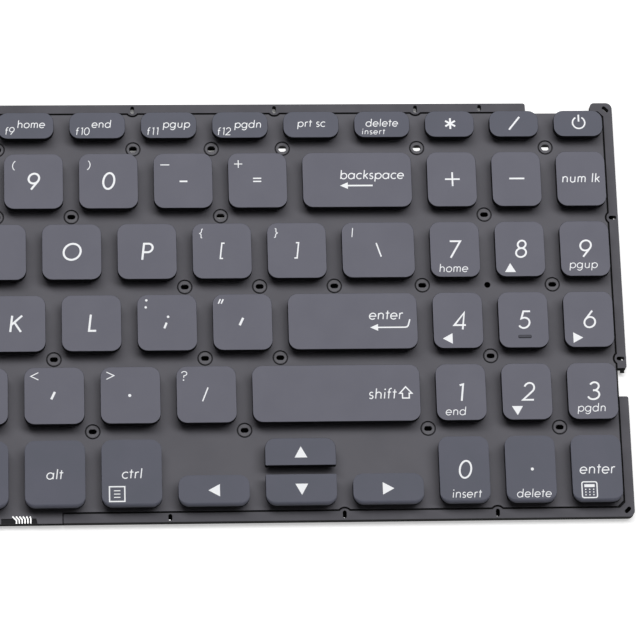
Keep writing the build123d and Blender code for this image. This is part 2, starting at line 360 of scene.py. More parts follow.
def rounded(x, y, width, depth, radii, steps):
    """Rectangle with arcs at its corners, radii given from front right round to front left."""
    points = []
    for corner, (side, end) in enumerate(((1, -1), (1, 1), (-1, 1), (-1, -1))):
        radius = max(radii[corner], 0.01)
        for step in range(steps + 1):
            turn = math.radians(90 * (corner - 1) + 90 * step / steps)
            points.append((x + side * (width / 2 - radius) + radius * math.cos(turn),
                           y + end * (depth / 2 - radius) + radius * math.sin(turn)))
    return points


def chamfered(width, depth, cut):
    """Rectangle round the origin with its corners cut off."""
    x, y = width / 2, depth / 2
    return [(x, cut - y), (x, y - cut), (x - cut, y), (cut - x, y), (-x, y - cut), (-x, cut - y),
            (cut - x, -y), (x - cut, -y)]


def slot(x, y, turn, length, steps=8):
    """Round-ended slot, long along X before its turn in degrees."""
    radius = slot_width / 2
    reach = length / 2 - radius
    points = []
    for side, start in ((1, -90), (-1, 90)):
        for step in range(steps + 1):
            angle = math.radians(start + 180 * step / steps)
            points.append(Vector((side * reach + radius * math.cos(angle), radius * math.sin(angle))))
    about = Matrix.Rotation(math.radians(turn), 2)
    return [tuple(about @ point + Vector((x, y))) for point in points]


def region(loops, keep):
    """Triangles of the plane inside named loops, where keep says yes to the set of names they lie in."""
    points = []
    faces = []
    names = []
    for name, outline in loops:
        faces.append(list(range(len(points), len(points) + len(outline))))
        points.extend(Vector(point) for point in outline)
        names.append(name)
    made = delaunay_2d_cdt(points, [], faces, 0, 1e-5)
    inside = [[names[n] for n in owners] for owners in made[5]]
    kept = [face for face, owners in zip(made[2], inside) if keep(set(owners))]
    used = sorted({n for face in kept for n in face})
    place = {n: k for k, n in enumerate(used)}
    return [tuple(made[0][n]) for n in used], [[place[n] for n in face] for face in kept]


# Letter shapes in shares of the letter height: the advance, then strokes, each a run of points (x, y)
# and arcs (x, y, radius across, radius up, start, end) in degrees, or one dot (x, y, radius)
x_height = 0.63
half = x_height / 2


def bowl(x=half, y=half, across=half, up=half):
    """Closed round stroke."""
    return [(x, y, across, up, 0, 360)]


def arch(x, width, foot=0.0):
    """Round shoulder and right leg of a letter such as n."""
    radius = width / 2
    shoulder = x_height - radius
    return [(x, shoulder), (x + radius, shoulder, radius, radius, 180, 0), (x + width, foot)]


def dot(x, y, radius=0.075):
    """Filled dot."""
    return [(x, y, radius)]


LETTERS = {
    " ": (0.26,),
    "a": (0.63, bowl(), [(0.63, 0), (0.63, x_height)]),
    "b": (0.63, bowl(), [(0, 0), (0, 1)]),
    "c": (0.52, [(half, half, half, half, 48, 312)]),
    "d": (0.63, bowl(), [(0.63, 0), (0.63, 1)]),
    "e": (0.63, [(0, half), (0.63, half), (half, half, half, half, 0, 318)]),
    "f": (0.34, [(0.13, 0), (0.13, 0.8), (0.31, 0.8, 0.18, 0.19, 180, 75)],
          [(0, x_height), (0.31, x_height)]),
    "g": (0.63, bowl(), [(0.63, x_height), (0.63, 0.02), (0.33, 0.02, 0.3, 0.32, 0, -145)]),
    "h": (0.49, [(0, 0), (0, 1)], arch(0, 0.49)),
    "i": (0.0, [(0, 0), (0, x_height)], dot(0, 0.9)),
    "k": (0.44, [(0, 0), (0, 1)], [(0.4, x_height), (0, 0.27)], [(0.12, 0.38), (0.44, 0)]),
    "l": (0.0, [(0, 0), (0, 1)]),
    "m": (0.76, [(0, 0), (0, x_height)], arch(0, 0.38), arch(0.38, 0.38)),
    "n": (0.48, [(0, 0), (0, x_height)], arch(0, 0.48)),
    "o": (0.63, bowl()),
    "p": (0.63, bowl(), [(0, x_height), (0, -0.32)]),
    "r": (0.3, [(0, 0), (0, x_height)], [(0, 0.4), (0.22, 0.4, 0.22, 0.23, 180, 65)]),
    "s": (0.36, [(0.18, 0.47, 0.16, 0.16, 35, 270), (0.18, 0.155, 0.17, 0.155, 90, -150)]),
    "t": (0.3, [(0.14, 0), (0.14, 0.88)], [(-0.03, x_height), (0.33, x_height)]),
    "u": (0.48, [(0, x_height), (0.24, 0.24, 0.24, 0.24, 180, 360), (0.48, x_height)],
          [(0.48, 0.3), (0.48, 0)]),
    "A": (0.8, [(0, 0), (0.4, 1), (0.8, 0)], [(0.14, 0.34), (0.66, 0.34)]),
    "B": (0.55, [(0, 0), (0, 1), (0.25, 0.765, 0.235, 0.235, 90, -90), (0, 0.53)],
          [(0, 0.53), (0.28, 0.265, 0.265, 0.265, 90, -90), (0, 0)]),
    "C": (0.85, [(0.5, 0.5, 0.5, 0.5, 45, 315)]),
    "D": (0.7, [(0, 0), (0, 1), (0.2, 0.5, 0.5, 0.5, 90, -90), (0, 0)]),
    "E": (0.46, [(0.46, 1), (0, 1), (0, 0), (0.46, 0)], [(0, 0.53), (0.42, 0.53)]),
    "F": (0.46, [(0.46, 1), (0, 1), (0, 0)], [(0, 0.53), (0.42, 0.53)]),
    "G": (1.0, [(0.5, 0.5, 0.5, 0.5, 45, 360), (0.55, 0.5)]),
    "H": (0.66, [(0, 0), (0, 1)], [(0.66, 0), (0.66, 1)], [(0, 0.53), (0.66, 0.53)]),
    "I": (0.0, [(0, 0), (0, 1)]),
    "J": (0.34, [(0.34, 1), (0.34, 0.2), (0.16, 0.18, 0.18, 0.18, 0, -130)]),
    "K": (0.62, [(0, 0), (0, 1)], [(0.58, 1), (0, 0.42)], [(0.17, 0.59), (0.62, 0)]),
    "L": (0.42, [(0, 1), (0, 0), (0.42, 0)]),
    "M": (0.96, [(0, 0), (0.14, 1), (0.48, 0.25), (0.82, 1), (0.96, 0)]),
    "N": (0.68, [(0, 0), (0, 1), (0.68, 0), (0.68, 1)]),
    "O": (1.0, bowl(0.5, 0.5, 0.5, 0.5)),
    "P": (0.54, [(0, 0), (0, 1), (0.27, 0.735, 0.265, 0.265, 90, -90), (0, 0.47)]),
    "Q": (1.0, bowl(0.5, 0.5, 0.5, 0.5), [(0.58, 0.36), (0.95, 0)]),
    "R": (0.56, [(0, 0), (0, 1), (0.27, 0.735, 0.265, 0.265, 90, -90), (0, 0.47)],
          [(0.24, 0.47), (0.56, 0)]),
    "S": (0.52, [(0.26, 0.76, 0.22, 0.24, 35, 270), (0.26, 0.26, 0.26, 0.26, 90, -150)]),
    "T": (0.6, [(0, 1), (0.6, 1)], [(0.3, 1), (0.3, 0)]),
    "U": (0.62, [(0, 1), (0.31, 0.31, 0.31, 0.31, 180, 360), (0.62, 1)]),
    "V": (0.74, [(0, 1), (0.37, 0), (0.74, 1)]),
    "W": (1.04, [(0, 1), (0.27, 0), (0.52, 0.85), (0.77, 0), (1.04, 1)]),
    "X": (0.64, [(0, 0), (0.6, 1)], [(0.04, 1), (0.64, 0)]),
    "Y": (0.66, [(0, 1), (0.33, 0.47), (0.66, 1)], [(0.33, 0.47), (0.33, 0)]),
    "Z": (0.6, [(0, 1), (0.6, 1), (0, 0), (0.6, 0)]),
    "0": (0.65, bowl(0.325, 0.5, 0.325, 0.5)),
    "1": (0.22, [(0.03, 0.92), (0.22, 0.98), (0.22, 0)]),
    "2": (0.62, [(0.3, 0.71, 0.28, 0.29, 165, -38), (0, 0), (0.62, 0)]),
    "3": (0.62, [(0.31, 0.76, 0.26, 0.24, 155, -90), (0.31, 0.26, 0.33, 0.27, 90, -158)]),
    "4": (0.66, [(0.5, 0), (0.5, 1), (0, 0.26), (0.66, 0.26)]),
    "5": (0.58, [(0.56, 1), (0.17, 1), (0.09, 0.57), (0.27, 0.31, 0.31, 0.31, 118, -150)]),
    "6": (0.62, bowl(0.31, 0.31, 0.31, 0.31), [(0.05, 0.48), (0.4, 1)]),
    "7": (0.6, [(0, 1), (0.6, 1), (0.14, 0)]),
    "8": (0.6, bowl(0.3, 0.77, 0.23, 0.23), bowl(0.3, 0.27, 0.29, 0.27)),
    "9": (0.62, bowl(0.31, 0.69, 0.31, 0.31), [(0.57, 0.52), (0.22, 0)]),
    "(": (0.3, [(0.62, 0.5, 0.6, 0.62, 126, 234)]),
    ")": (0.3, [(-0.34, 0.5, 0.6, 0.62, 54, -54)]),
    "{": (0.3, [(0.3, 1), (0.18, 0.95), (0.16, 0.62), (0, 0.5), (0.16, 0.38), (0.18, 0.05), (0.3, 0)]),
    "}": (0.3, [(0, 1), (0.12, 0.95), (0.14, 0.62), (0.3, 0.5), (0.14, 0.38), (0.12, 0.05), (0, 0)]),
    "[": (0.17, [(0.17, 1), (0, 1), (0, 0), (0.17, 0)]),
    "]": (0.17, [(0, 1), (0.17, 1), (0.17, 0), (0, 0)]),
    "|": (0.0, [(0, 0), (0, 1)]),
    "\\": (0.32, [(0, 1), (0.32, 0)]),
    "/": (0.3, [(0, 0), (0.3, 1)]),
    "-": (1.0, [(0, 0.5), (1, 0.5)]),
    "+": (1.0, [(0, 0.5), (1, 0.5)], [(0.5, 0), (0.5, 1)]),
    "=": (1.0, [(0, 0.3), (1, 0.3)], [(0, 0.7), (1, 0.7)]),
    ":": (0.0, dot(0, 0.12, 0.13), dot(0, 0.88, 0.13)),
    ";": (0.2, [(-0.06, -0.08), (0.15, 0.42)], dot(0.28, 0.94, 0.11)),
    "'": (0.25, [(0, 0), (0.32, 1)]),
    '"': (0.7, [(0, 0), (0.3, 1)], [(0.6, 0), (0.9, 1)]),
    ",": (0.25, [(0, 0), (0.32, 1)]),
    ".": (0.0, dot(0, 0.5, 0.4)),
    "<": (1.0, [(1, 1), (0, 0.5), (1, 0)]),
    ">": (1.0, [(0, 1), (1, 0.5), (0, 0)]),
    "?": (0.6, [(0.3, 0.75, 0.28, 0.23, 165, -90), (0.3, 0.3)], dot(0.3, 0.06, 0.08)),
    "!": (0.0, [(0, 0.32), (0, 1)], dot(0, 0.06, 0.09)),
    "@": (1.0, [(0.5, 0.5, 0.5, 0.5, -50, 270)], bowl(0.5, 0.5, 0.2, 0.22),
          [(0.7, 0.7), (0.7, 0.28), (0.9, 0.3)]),
    "#": (0.8, [(0.2, 0), (0.3, 1)], [(0.5, 0), (0.6, 1)], [(0, 0.33), (0.78, 0.33)],
          [(0.04, 0.67), (0.82, 0.67)]),
    "$": (0.52, [(0.26, 0.7, 0.22, 0.2, 35, 270), (0.26, 0.3, 0.24, 0.2, 90, -150)],
          [(0.26, 0), (0.26, 1)]),
    "%": (0.9, bowl(0.18, 0.78, 0.18, 0.2), bowl(0.72, 0.22, 0.18, 0.2), [(0.16, 0), (0.74, 1)]),
    "^": (0.7, [(0, 0.5), (0.35, 1), (0.7, 0.5)]),
    "&": (0.7, [(0.7, 0), (0.14, 0.68), (0.3, 0.82, 0.17, 0.17, 200, -30), (0.1, 0.42),
               (0.27, 0.22, 0.24, 0.22, 150, 330), (0.66, 0.46)]),
    "*": (0.8, [(0.4, 0), (0.4, 1)], [(0, 0.25), (0.8, 0.75)], [(0, 0.75), (0.8, 0.25)]),
    "~": (1.0, [(0, 0.4), (0.25, 0.45, 0.22, 0.15, 170, 20), (0.75, 0.55, 0.22, 0.15, 200, 350), (1, 0.6)]),
    "`": (0.3, [(0, 1), (0.3, 0.7)]),
}


def stroke_points(stroke):
    """Points along a stroke, with its arcs divided."""
    points = []
    for part in stroke:
        if len(part) == 2:
            points.append(part)
            continue
        x, y, across, up, start, end = part
        steps = max(3, round(abs(end - start) / 15))
        for step in range(steps + 1):
            turn = math.radians(start + (end - start) * step / steps)
            points.append((x + across * math.cos(turn), y + up * math.sin(turn)))
    clean = [Vector(points[0])]
    for point in points[1:]:
        if (Vector(point) - clean[-1]).length > 1e-4:
            clean.append(Vector(point))
    return clean


def ribbon(points, width):
    """Flat band of even width along points, closed on itself where they end as they start."""
    is_closed = (points[0] - points[-1]).length < 1e-4
    line = points[:-1] if is_closed else points
    count = len(line)
    edges = []
    for n, point in enumerate(line):
        before = line[n - 1] if is_closed or n else None
        after = line[(n + 1) % count] if is_closed or n < count - 1 else None
        sides = [(b - a).normalized().orthogonal() for a, b in ((before, point), (point, after)) if a and b]
        lean = sum(sides, Vector((0, 0))).normalized()
        reach = width / 2 / max(lean.dot(sides[0]), 0.4)
        edges.append((point + lean * reach, point - lean * reach))
    flat = [tuple(point) for pair in edges for point in pair]
    last = count if is_closed else count - 1
    faces = []
    for n in range(last):
        a, b = 2 * n, 2 * ((n + 1) % count)
        faces.append([a, a + 1, b + 1, b])
    return flat, faces


STRAIGHT_LEFT = set("1bhiklmnpru")
STRAIGHT_RIGHT = set("1adghilmnu")
letter_gap = 0.18
straight_gap = 0.08


def text(words, size, weight, u, v, slant=0.12, gap=letter_gap):
    """Flat shapes of a line of text of a letter height, with the middle of its box at u, v."""
    shapes = []
    cursor = 0.0
    for letter, after in zip(words, words[1:] + " "):
        advance, *strokes = LETTERS[letter]
        for stroke in strokes:
            if len(stroke[0]) == 3:
                x, y, radius = stroke[0]
                shapes.append(one_face(circle((cursor + x + slant * y) * size, y * size, radius * size, 12)))
                continue
            line = [Vector(((cursor + p.x + slant * p.y) * size, p.y * size)) for p in stroke_points(stroke)]
            shapes.append(ribbon(line, weight))
        cursor += advance + gap + straight_gap * ((letter in STRAIGHT_RIGHT) + (after in STRAIGHT_LEFT))
    every = [point for points, _ in shapes for point in points]
    middle = [(min(p[axis] for p in every) + max(p[axis] for p in every)) / 2 for axis in (0, 1)]
    return [([(x + u - middle[0], y + v - middle[1]) for x, y in points], faces) for points, faces in shapes]


def outline(points, weight, u, v):
    """Line drawn along points placed about u, v."""
    return [ribbon([Vector((x + u, y + v)) for x, y in points], weight)]


def filled(points, u, v):
    """Filled flat shape placed about u, v."""
    return [one_face([(x + u, y + v) for x, y in points])]


def triangle(turn, width, height, u, v):
    """Filled arrow head that points to the rear before its turn in degrees."""
    about = Matrix.Rotation(math.radians(turn), 2)
    corners = ((-width / 2, -height / 2), (width / 2, -height / 2), (0, height / 2))
    return filled([tuple(about @ Vector(corner)) for corner in corners], u, v)


def merged(shapes):
    """One flat mesh of shapes that may lie over each other."""
    loops = []
    for points, faces in shapes:
        for face in faces:
            start = Vector(points[face[0]])
            for second, third in zip(face[1:], face[2:]):
                corners = [start, Vector(points[second]), Vector(points[third])]
                area = (corners[1] - start).cross(corners[2] - start)
                if abs(area) > 1e-5:
                    loops.append(("ink", corners if area > 0 else corners[::-1]))
    return region(loops, bool)


def main_sign(letter):
    """Large letter or number in the middle of a cap."""
    return text(letter, 4.3, 0.52, 0.1, 0.0)


def pad_sign(letter):
    """Large number on the number pad."""
    return text(letter, 4.45, 0.46, 0.25, 0.0)


def shift_sign(letter, u=-5.2, v=4.3):
    """Small upper sign near a cap's rear left corner."""
    return text(letter, 2.45, 0.22, u, v, 0.1)


def word(words, u, v, size=2.55, weight=0.27):
    """Name of a key."""
    return text(words, size, weight, u, v)


def pad_word(words, u, v):
    """Small second name on the number pad."""
    return text(words, 2.15, 0.21, u, v)


def rear_word(words, u, v):
    """Second name on the rear row."""
    return text(words, 2.06, 0.22, u, v)


def rear_number(words, u=-3.75, v=-1.6):
    """Function number on the rear row."""
    return text(words, 1.95, 0.2, u, v)


def back_arrow(u, v):
    """Arrow to the left on a straight shaft."""
    return triangle(90, 1.8, 2.0, u - 3.2, v) + outline([(-2.4, 0), (4.2, 0)], 0.42, u, v)


def return_arrow(u, v):
    """Arrow to the left whose shaft comes down from the rear and turns."""
    shaft = [(-2.9, 0), (4.1, 0), (4.6, 0.12), (4.9, 0.5), (5.35, 2.1)]
    return triangle(90, 1.8, 2.0, u - 3.8, v) + outline(shaft, 0.36, u, v)


def shift_arrow(u, v):
    """Outline of a broad arrow to the rear."""
    right = [(0, 1.5), (1.55, -0.2), (0.85, -0.2), (0.85, -1.45)]
    left = [(-x, y) for x, y in reversed(right)]
    return outline([*right, *left], 0.33, u, v)


def menu_sign(u, v):
    """Square with three lines in it."""
    square = rectangle(-1.9, -1.9, 1.9, 1.9)
    shapes = outline([*square, square[0]], 0.33, u, v)
    for n in (-1, 0, 1):
        shapes += outline([(-0.8, n * 0.85), (0.8, n * 0.85)], 0.23, u, v)
    return shapes


def calculator_sign(u, v):
    """Rounded box with a display and nine buttons."""
    box = rounded(0, 0, 3.8, 4.1, [0.45] * 4, 3)
    shapes = outline([*box, box[0]], 0.3, u, v) + filled(rectangle(-1.3, 0.68, 1.3, 1.42), u, v)
    for column in (-1, 0, 1):
        for row in range(3):
            shapes += filled(circle(column * 1.0, 0.1 - row * 0.7, 0.18, 10), u, v)
    return shapes


def power_sign(u, v):
    """Open ring with a bar at its top."""
    ring = [tuple(point) for point in stroke_points([(0, 0, 1.6, 1.6, 119, 421)])]
    return outline(ring, 0.38, u, v) + outline([(0, 0.3), (0, 2.2)], 0.42, u, v)


def crossed_sign(u, v):
    """Six-armed star."""
    shapes = []
    for turn in (90, 30, 150):
        x, y = 1.48 * math.cos(math.radians(turn)), 1.48 * math.sin(math.radians(turn))
        shapes += outline([(-x, -y), (x, y)], 0.5, u, v)
    return shapes


LEGENDS = {
    "f9": rear_number("f9", -3.95, -1.4) + rear_word("home", 1.45, 0.4),
    "f10": rear_number("f10", -3.65) + rear_word("end", 1.1, 0.4),
    "f11": rear_number("f11", -4.0) + rear_word("pgup", 2.0, -0.3),
    "f12": rear_number("f12", -4.0, -1.75) + rear_word("pgdn", 2.0, -0.1),
    "print_screen": rear_word("prt sc", 0.1, 0.0),
    "delete": rear_word("delete", 0.0, 0.4) + text("insert", 1.55, 0.17, -2.2, -2.0, gap=0.26),
    "pad_multiply": crossed_sign(0.2, 0.1),
    "pad_divide": outline([(-1.4, -1.75), (1.4, 1.75)], 0.46, 0.1, 0.1),
    "pad_power": power_sign(0.2, 0.2),
    "9": main_sign("9") + shift_sign("(", -4.95),
    "0": main_sign("0") + shift_sign(")", -4.95),
    "minus": (outline([(-1.0, 0), (1.0, 0)], 0.42, 0.1, -0.2)
              + outline([(-1.15, 0), (1.15, 0)], 0.26, -4.6, 4.3)),
    "equals": text("=", 2.1, 0.34, -0.1, 0.1, 0) + text("+", 2.1, 0.24, -4.85, 4.45, 0),
    "backspace": word("backspace", 3.85, 1.05, 2.38) + back_arrow(-0.25, -1.6),
    "pad_plus": text("+", 3.8, 0.42, 0.15, 0.0, 0),
    "pad_minus": text("-", 3.9, 0.44, 0.1, 0.1, 0),
    "pad_lock": text("num lk", 2.4, 0.26, 0.0, 0.15),
    "left_bracket": text("[", 4.1, 0.35, 0.0, 0.0) + shift_sign("{", -5.25, 4.7),
    "right_bracket": text("]", 4.1, 0.35, 0.0, 0.0) + shift_sign("}", -5.2, 4.7),
    "backslash": text("\\", 3.7, 0.36, 0.1, 0.0, 0) + shift_sign("|", -6.5, 4.7),
    "pad_7": pad_sign("7") + pad_word("home", -0.5, -5.05),
    "pad_8": pad_sign("8") + triangle(0, 2.8, 2.4, -2.7, -5.05),
    "pad_9": pad_sign("9") + pad_word("pgup", -0.55, -4.9),
    "semicolon": text(";", 3.0, 0.52, -0.2, 0.1, 0) + shift_sign(":", -5.25, 5.0),
    "quote": text("'", 1.95, 0.58, -0.3, 0.1, 0.15) + text('"', 1.2, 0.34, -5.4, 5.5, 0.15),
    "enter": word("enter", 8.5, 1.5) + return_arrow(9.15, -1.75),
    "pad_4": pad_sign("4") + triangle(90, 2.8, 2.5, -2.8, -4.85),
    "pad_5": pad_sign("5"),
    "pad_6": pad_sign("6") + triangle(-90, 2.8, 2.5, -2.9, -4.9),
    "comma": text(",", 1.95, 0.58, -0.3, 0.05, 0.15) + text("<", 1.9, 0.24, -5.0, 5.15, 0),
    "period": text(".", 1.0, 0.2, -0.2, -0.1, 0) + text(">", 1.9, 0.24, -4.9, 5.15, 0),
    "slash": text("/", 3.6, 0.32, -0.3, 0.0, 0.1) + shift_sign("?", -5.5, 4.9),
    "right_shift": word("shift", 11.7, -0.2, 2.66) + shift_arrow(17.5, 0.0),
    "pad_1": pad_sign("1") + pad_word("end", -1.5, -5.0),
    "pad_2": pad_sign("2") + triangle(180, 2.8, 2.4, -2.6, -5.05),
    "pad_3": pad_sign("3") + pad_word("pgdn", -0.5, -4.7),
    "right_alt": word("alt", -0.05, -0.15),
    "right_control": word("ctrl", 0.1, -0.15) + menu_sign(-3.7, -5.4),
    "arrow_left": triangle(90, 3.2, 2.9, 0, 0),
    "arrow_up": triangle(0, 3.2, 2.9, 0.1, -0.1),
    "arrow_down": triangle(180, 3.2, 2.9, 0.1, 0),
    "arrow_right": triangle(-90, 3.2, 2.9, 0, 0),
    "pad_0": pad_sign("0") + pad_word("insert", 0.45, -6.3),
    "pad_point": text(".", 1.0, 0.2, 0.4, -0.1, 0) + pad_word("delete", 0.6, -6.35),
    "pad_enter": word("enter", 0.15, -0.3, 2.65) + calculator_sign(-2.1, -5.65),
}
LEGENDS.update((letter, main_sign(letter.upper())) for letter in "iopklm")

# Legends of the keys that are carried as one group, rear rows first and left to right
LEFT_LEGENDS = (
    [word("esc", 0.0, 0.0, 2.12)] + [rear_number(f"f{n}", -3.9, -1.5) for n in range(1, 9)],
    [main_sign(low) + shift_sign(up, -5.2, 4.4) for low, up in zip("`12345678", "~!@#$%^&*")],
    [word("tab", -4.0, 0.0)] + [main_sign(letter) for letter in "QWERTYU"],
    [word("caps lock", -2.0, 0.0)] + [main_sign(letter) for letter in "ASDFGHJ"],
    [word("shift", -8.0, 0.0)] + [main_sign(letter) for letter in "ZXCVBN"],
    [word("ctrl", 0.0, 0.0), word("fn", 0.0, 0.0), [], word("alt", 0.0, 0.0)],
)


def front_share(n):
    """How far a point of a cap's ring faces the front, from 0 at the sides to 1."""
    corner, step = divmod(n, cap_corner_steps + 1)
    return max(0.0, -math.sin(math.radians(90 * (corner - 1 + step / cap_corner_steps))))


def is_front(low):
    """Whether a cap with this lowest corner stands along the keyboard's front edge."""
    return low.y < node_box("key_pad_0")[0].y + front_row_slack


def add_cap(bm, low, high, square_front=False, square_rear=False, legend=(), paint=0):
    """Hollow cap with a small rounded rim round its top face and its printed signs."""
    x, y = (low.x + high.x) / 2, (low.y + high.y) / 2
    width, depth = high.x - low.x, high.y - low.y
    top = high.z - ink_height
    front = cap_square_corner if square_front else cap_corner
    rear = cap_square_corner if square_rear else cap_corner

    def ring(inset, z):
        radii = [max(radius - inset, 0.05) for radius in (front, rear, rear, front)]
        flat = rounded(x, y, width - 2 * inset, depth - 2 * inset, radii, cap_corner_steps)
        return [(px, py, z) for px, py in flat]

    def rim_ring(inset, drop, roll_inset, roll_drop):
        """Ring of the rim, which lies further in and lower along the front of the front row."""
        points = ring(inset, top - drop)
        if not is_front(low):
            return points
        shares = [front_share(n) for n in range(len(points))]
        return [(px, py + share * (roll_inset - inset), z - share * (roll_drop - drop))
                for (px, py, z), share in zip(points, shares)]

    roof = ring(cap_wall + roof_draft, high.z - cap_roof)
    skirt = [ring(cap_wall, low.z), ring(skirt_bevel, low.z), ring(0.0, low.z + skirt_bevel)]
    rim = [rim_ring(*edge, *roll) for edge, roll in zip(cap_bevel, front_roll)]
    face = [rim_ring(cap_top_inset + more, 0.0, front_roll_inset + more, 0.0)
            for more in (0.0, face_margin)]
    rings = [roof, *skirt, *rim, *face]
    # The walls, the hollow and the outer strips of the rim take the near-black painted shade, which draws a
    # dark line round each top
    painted_from = len(rings) - (5 if is_front(low) else 3)
    add_rings(bm, rings, lambda n: paint if n >= painted_from else 1)
    if legend:
        points, faces = merged(legend)
        add_slab(bm, [(x + u, y + v) for u, v in points], faces, top - ink_height, high.z, 2)
    return x, y


def top_paint_and_shade(y):
    """Colour of a cap's top by its place: the rear and the front row get a painted shade, a little darker
    than the rows between.
    """
    in_rear = y > node_box("key_pad_plus")[1].y
    in_front = y < node_box("key_pad_1")[0].y
    return outer_row_painted_shade if in_rear or in_front else cap_paint


def key_piece(key):
    """Cap of one key, in place of its CAD node."""
    node = f"key_{key}"
    low, high = node_box(node)
    bm = bmesh.new()
    x, y = add_cap(bm, low, high, key == "arrow_up", key == "arrow_down", LEGENDS.get(key, ()))
    if key == "pad_5":
        for width, depth, shift, corner, drop, material in homing_bars:
            ridge = rounded(x + homing_x, y + shift, width, depth, [corner] * 4, 4)
            add_slab(bm, *one_face(ridge), high.z - homing_root, high.z - drop, material)
    materials = (top_paint_and_shade(y), cap_wall_painted_shade, legend_ink, homing_ridge, homing_painted_shadow)
    return piece(node, bm, materials, node, [node])


def add_dome(bm, x, y, base, height, steps=20):
    """Round rubber dome on the film sheet: foot, thin skirt, shoulder and plunger."""
    top = base - dome_draft
    profile = ((base, 0.0), (base, 0.18), (base - 0.2, 0.3), (top + 0.1, height * 0.62),
               (top, height * 0.72), (top * 0.82, height * 0.8), (top * 0.62, height * 0.86),
               (top * 0.6, height))
    rings = [[(px, py, sheet_top + z) for px, py in circle(x, y, radius, steps)] for radius, z in profile]
    add_rings(bm, rings, lambda n: 0)


def add_link(bm, centre, tilt, frame_shape):
    """Scissor frame of a flat shape, tilted about X and set at a centre."""
    start = len(bm.verts)
    add_slab(bm, *frame_shape, -link_thickness / 2, link_thickness / 2, 1)
    bm.verts.ensure_lookup_table()
    turn = Matrix.Translation(centre) @ Matrix.Rotation(tilt, 4, "X")
    bmesh.ops.transform(bm, matrix=turn, verts=bm.verts[start:])


def link_outline(outer, rise):
    """U frame with rounded corners: two arms and a cross bar at the end that rises."""
    whole = rounded(0, 0, outer, link_span, [0.6] * 4, 3)
    inner = rectangle(link_bar - outer / 2, -rise * link_bar - link_span / 2, outer / 2 - link_bar,
                      -rise * link_bar + link_span / 2)
    return region([("frame", whole), ("open", inner)], lambda names: names == {"frame"})


def add_links(bm, x, y, roof_under):
    """Crossed pair of scissor frames under a cap."""
    room = roof_under - sheet_top - 2 * link_clearance
    tilt = math.asin((room - link_thickness) / link_span)
    centre = Vector((x, y, (roof_under + sheet_top) / 2))
    add_link(bm, centre, tilt, outer_link)
    add_link(bm, centre, -tilt, inner_link)


def add_wire(bm, x, y, width, depth, roof_under):
    """Round stabiliser wire: a long bar under the cap's front and two legs down to the plate."""
    room = roof_under - sheet_top - 2 * link_clearance
    tilt = math.asin((room - wire_size) / wire_leg)
    bar_y = y - depth / 2 + hollow_inset + link_clearance
    middle = Vector((x, bar_y + wire_leg / 2, (roof_under + sheet_top) / 2))
    turn = Matrix.Translation(middle) @ Matrix.Rotation(-tilt, 4, "X")
    reach = width / 2 - wire_inset - wire_size / 2
    front, back = wire_size / 2 - wire_leg / 2, wire_leg / 2
    path = [Vector((-reach, back, 0))]
    for step in range(5):
        angle = math.radians(180 + 22.5 * step)
        path.append(Vector((wire_bend * (1 + math.cos(angle)) - reach,
                            wire_bend * (1 + math.sin(angle)) + front, 0)))
    path += [Vector((-p.x, p.y, 0)) for p in reversed(path)]
    rings = []
    for n, point in enumerate(path):
        ahead = path[min(n + 1, len(path) - 1)] - path[max(n - 1, 0)]
        across = Vector((0, 0, 1)).cross(ahead.normalized())
        ring = []
        for k in range(8):
            angle = math.radians(45 * k)
            offset = across * math.cos(angle) + Vector((0, 0, 1)) * math.sin(angle)
            ring.append(turn @ (point + offset * wire_size / 2))
        rings.append(ring)
    add_rings(bm, rings, lambda n: 2)


def switch_piece(key):
    """Dome, scissor links and wire under one key."""
    low, high = node_box(f"key_{key}")
    x, y = (low.x + high.x) / 2, (low.y + high.y) / 2
    width, depth = high.x - low.x, high.y - low.y
    roof_under = high.z - cap_roof
    is_short = depth < short_cap
    dome_base = short_dome_radius if is_short else dome_radius
    bm = bmesh.new()
    add_dome(bm, x, y, dome_base, roof_under - sheet_top - seat_clearance)
    stands_for = ["rubber_domes"]
    if not is_short:
        add_links(bm, x, y, roof_under)
        stands_for.append("scissor_links")
    if key in ("backspace", "enter", "right_shift", "space"):
        add_wire(bm, x, y, width, depth, roof_under)
        stands_for.append("stabiliser_wires")
    made = piece(f"switch_{key}", bm, (rubber, link_plastic, wire_steel), "base", stands_for)
    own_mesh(made)
    return made


# Caps and switches of the keys that move
keys = [body[4:] for body in frame["bodies"] if body.startswith("key_")]
pad_low, pad_high = node_box("key_pad_5")
outer_width = pad_high.x - pad_low.x - 2 * (hollow_inset + link_clearance)
outer_link = link_outline(outer_width, 1)
inner_link = link_outline(outer_width - 2 * (link_bar + link_clearance), -1)
for key in keys:
    key_piece(key)
    switch_piece(key)

# Caps of the keys at the left, which are carried as one group, and their domes
left_boxes = solid_boxes("left_keys")
left_legends = [legend for row in LEFT_LEGENDS for legend in row]
caps = bmesh.new()
domes = bmesh.new()
for (low, high), legend in zip(left_boxes, left_legends):
    # The rear and the front row take the painted shade
    is_darker = top_paint_and_shade((low.y + high.y) / 2) == outer_row_painted_shade
    x, y = add_cap(caps, low, high, legend=legend, paint=3 if is_darker else 0)
    dome_base = short_dome_radius if high.y - low.y < short_cap else dome_radius
    add_dome(domes, x, y, dome_base, low.z - sheet_top - seat_clearance)
left_materials = (cap_paint, cap_wall_painted_shade, legend_ink, outer_row_painted_shade)
piece("left_keys_caps", caps, left_materials, "base", ["left_keys"])
piece("left_keys_domes", domes, (rubber,), "base", ["rubber_domes"])

# Places on the plate, taken from the caps
plate_low, plate_high = node_box("base_plate")
plate_width, plate_depth = plate_high.x - plate_low.x, plate_high.y - plate_low.y
tray_width, tray_depth = plate_width - 2 * band_width, plate_depth - 2 * band_width


def gap_x(left_key, right_key):
    """Middle of the gap between two caps side by side."""
    return (node_box(f"key_{left_key}")[1].x + node_box(f"key_{right_key}")[0].x) / 2


